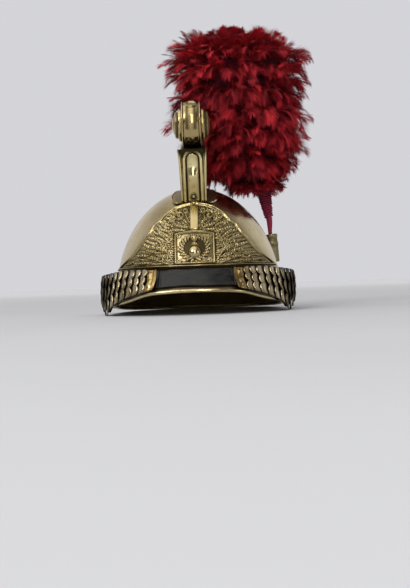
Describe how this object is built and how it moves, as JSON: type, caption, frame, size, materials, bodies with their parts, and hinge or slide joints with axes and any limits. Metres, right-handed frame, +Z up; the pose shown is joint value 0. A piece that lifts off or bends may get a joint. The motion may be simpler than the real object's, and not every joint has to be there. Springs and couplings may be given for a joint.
{
  "type": "sapper helmet",
  "caption": "Brass fire-brigade helmet with a stamped front plate, a tall crest ending in a scroll, a scaled chin strap worn up over the visor and a red feather plume.",
  "frame": {"origin": "middle of the whole outline in plan, on the floor that the helmet stands on", "axes": "+Z up, the wearer's face towards -Y, the wearer's left towards +X"},
  "size_m": [0.2549, 0.2806, 0.354],
  "materials": {
    "brass_skull": "polished brass, pale and a little worn",
    "brass_stamped": "stamped brass with dark recesses",
    "brass_crest": "polished yellow brass",
    "brass_scales": "brass, oxidised between the scales",
    "brass_socket": "dull olive-brown brass",
    "leather_dark": "old dark leather",
    "thread_red": "wound crimson thread",
    "feathers_red": "crimson cock feathers"
  },
  "bodies": {
    "root": {"bombe": "brass_skull", "crest_body": "brass_crest", "crest_disc_left": "brass_crest", "crest_disc_right": "brass_crest", "crest_foot_left": "brass_crest", "crest_foot_right": "brass_crest", "crest_front": "brass_crest", "crest_rosette": "brass_crest", "crest_scroll_band": "brass_crest", "ear_boss_left": "brass_scales", "ear_boss_right": "brass_scales", "front_plate": "brass_stamped", "front_strap": "leather_dark", "front_stud": "brass_stamped", "guard_rim": "brass_scales", "neck_guard": "brass_skull", "plume_feathers": "feathers_red", "plume_socket": "brass_socket", "plume_stem": "thread_red", "plume_winding": "thread_red", "scale_end_left": "brass_scales", "scale_end_right": "brass_scales", "scale_leather_left": "leather_dark", "scale_leather_right": "leather_dark", "scale_left_01": "brass_scales", "scale_left_02": "brass_scales", "scale_left_03": "brass_scales", "scale_left_04": "brass_scales", "scale_left_05": "brass_scales", "scale_left_06": "brass_scales", "scale_left_07": "brass_scales", "scale_left_08": "brass_scales", "scale_left_09": "brass_scales", "scale_left_10": "brass_scales", "scale_left_11": "brass_scales", "scale_left_12": "brass_scales", "scale_right_01": "brass_scales", "scale_right_02": "brass_scales", "scale_right_03": "brass_scales", "scale_right_04": "brass_scales", "scale_right_05": "brass_scales", "scale_right_06": "brass_scales", "scale_right_07": "brass_scales", "scale_right_08": "brass_scales", "scale_right_09": "brass_scales", "scale_right_10": "brass_scales", "scale_right_11": "brass_scales", "scale_right_12": "brass_scales", "socket_bracket": "brass_socket", "visor": "brass_skull", "visor_rim": "brass_scales"}
  },
  "joints": []
}
